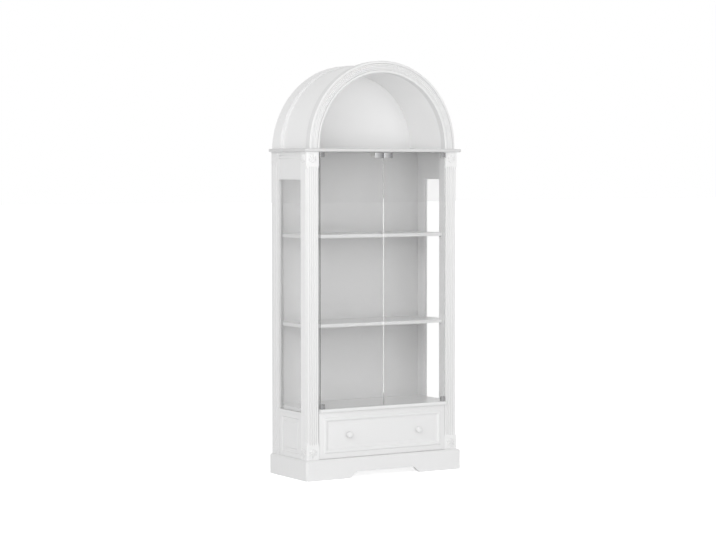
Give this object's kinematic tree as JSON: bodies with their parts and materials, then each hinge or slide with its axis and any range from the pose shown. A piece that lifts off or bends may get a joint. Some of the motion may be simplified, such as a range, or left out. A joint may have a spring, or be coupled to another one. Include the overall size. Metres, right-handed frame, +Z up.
{
  "type": "display cabinet",
  "caption": "Tall arched-top display cabinet with frameless glass doors, glazed sides, shelves, fluted posts, a base drawer and a bracket plinth.",
  "frame": {"origin": "centre of the overall bounding box, at floor level", "axes": "+Z up; the doors and the drawer face -Y; +X is to the right seen from the front"},
  "size_m": [0.952, 0.39, 2.1499],
  "materials": {
    "white_lacquer": "satin white lacquer over sanded wood",
    "white_board": "matte white faced board",
    "bare_wood": "plain sanded softwood",
    "clear_glass": "clear polished",
    "chrome": "polished",
    "steel": "zinc plated",
    "pale_plastic": "matte"
  },
  "bodies": {
    "cabinet": {"arch_back_panel": "white_board", "arch_ring_front": "white_lacquer", "arch_ring_rear": "white_lacquer", "back_panel": "white_board", "back_screws": "steel", "bottom_panel": "bare_wood", "cornice": "white_lacquer", "deck": "white_lacquer", "drawer_runner_left": "bare_wood", "drawer_runner_right": "bare_wood", "drawer_stops": "bare_wood", "front_post_left": "white_lacquer", "front_post_right": "white_lacquer", "glazing_bead_left": "white_lacquer", "glazing_bead_right": "white_lacquer", "latch_housing": "pale_plastic", "latch_screws": "steel", "pivot_bushes": "pale_plastic", "plinth_back": "white_lacquer", "plinth_blocks": "bare_wood", "plinth_front": "white_lacquer", "plinth_side_left": "white_lacquer", "plinth_side_right": "white_lacquer", "rear_stile_left": "white_lacquer", "rear_stile_right": "white_lacquer", "shelf_lower": "white_lacquer", "shelf_pins": "steel", "shelf_upper": "white_lacquer", "side_frieze_left": "white_lacquer", "side_frieze_right": "white_lacquer", "side_glass_left": "clear_glass", "side_glass_right": "clear_glass", "side_lower_panel_left": "white_lacquer", "side_lower_panel_right": "white_lacquer", "side_sill_left": "white_lacquer", "side_sill_right": "white_lacquer", "vault_lining": "white_lacquer", "vault_rib": "bare_wood", "vault_skin": "white_lacquer"},
    "door_left": {"door_glass_left": "clear_glass", "hinge_clamp_top_left": "chrome", "hinge_clamp_bottom_left": "chrome", "hinge_pins_left": "steel", "strike_plate_left": "chrome"},
    "door_right": {"door_glass_right": "clear_glass", "hinge_clamp_top_right": "chrome", "hinge_clamp_bottom_right": "chrome", "hinge_pins_right": "steel", "strike_plate_right": "chrome"},
    "drawer": {"drawer_front": "white_lacquer", "drawer_side_left": "bare_wood", "drawer_side_right": "bare_wood", "drawer_back": "bare_wood", "drawer_bottom": "bare_wood", "knob_left": "white_lacquer", "knob_right": "white_lacquer", "knob_screws": "steel"},
    "plunger_left": {"latch_plunger_left": "pale_plastic"},
    "plunger_right": {"latch_plunger_right": "pale_plastic"}
  },
  "joints": [
    {"name": "door_left_hinge", "type": "hinge", "parent": "cabinet", "child": "door_left", "pos_m": [-0.372, -0.17, 1], "axis": [0, 0, -1], "range_deg": [0, 100]},
    {"name": "door_right_hinge", "type": "hinge", "parent": "cabinet", "child": "door_right", "pos_m": [0.372, -0.17, 1], "axis": [0, 0, 1], "range_deg": [0, 100]},
    {"name": "drawer_slide", "type": "slide", "parent": "cabinet", "child": "drawer", "axis": [0, -1, 0], "range_m": [0, 0.24]},
    {"name": "plunger_left_slide", "type": "slide", "parent": "cabinet", "child": "plunger_left", "axis": [0, -1, 0], "range_m": [0, 0.008]},
    {"name": "plunger_right_slide", "type": "slide", "parent": "cabinet", "child": "plunger_right", "axis": [0, -1, 0], "range_m": [0, 0.008]}
  ],
  "couplings": [
    {"joint": "plunger_left_slide", "follows": "door_left_hinge", "m_per_rad": 0.004579},
    {"joint": "plunger_right_slide", "follows": "door_right_hinge", "m_per_rad": 0.004579}
  ]
}
